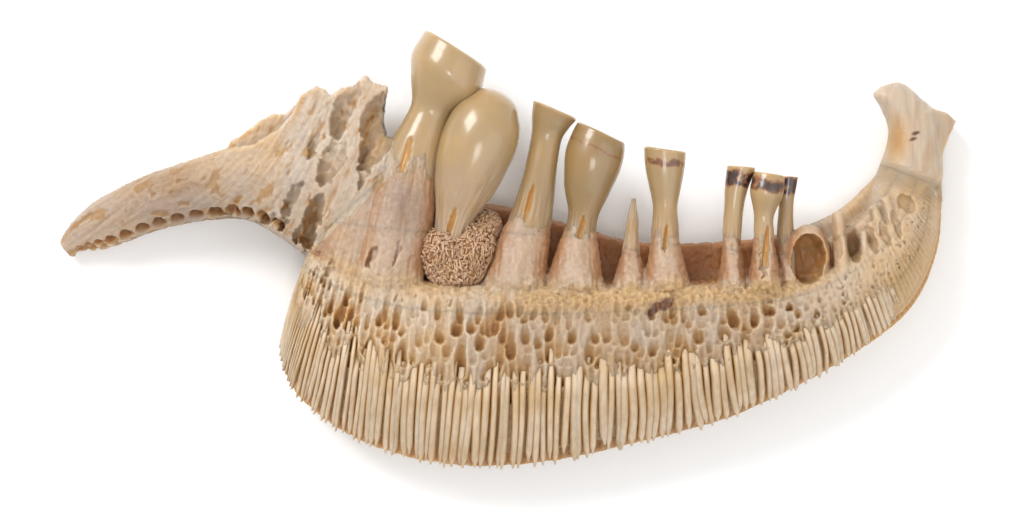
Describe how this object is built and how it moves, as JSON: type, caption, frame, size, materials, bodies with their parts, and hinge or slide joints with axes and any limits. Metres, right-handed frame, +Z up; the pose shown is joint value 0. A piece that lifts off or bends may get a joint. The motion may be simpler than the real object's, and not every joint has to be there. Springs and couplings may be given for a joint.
{
  "type": "fish pharyngeal bone with teeth",
  "caption": "Curved throat bone of a sucker-like fish, with a row of worn molar-like teeth, a pitted body, a ribbed outer wing and two limbs.",
  "frame": {"origin": "on the floor, below the middle of the bone's bounding box", "axes": "+X from the ventral limb's tip to the dorsal limb, along the bone's length; +Y the way the teeth point; +Z up, away from the floor, towards the pitted face"},
  "size_m": [0.0602, 0.0292, 0.0098],
  "materials": {
    "tooth": "tooth dentine, worn smooth, satin",
    "body_bone": "dry, finely porous bone",
    "wing_bone": "dry, finely ribbed bone",
    "ventral_bone": "dry, porous bone",
    "dorsal_bone": "dense, smooth dry bone"
  },
  "bodies": {
    "root": {"tooth_row": "tooth", "pitted_body": "body_bone", "ribbed_wing": "wing_bone", "ventral_limb": "ventral_bone", "dorsal_limb": "dorsal_bone"}
  },
  "joints": []
}
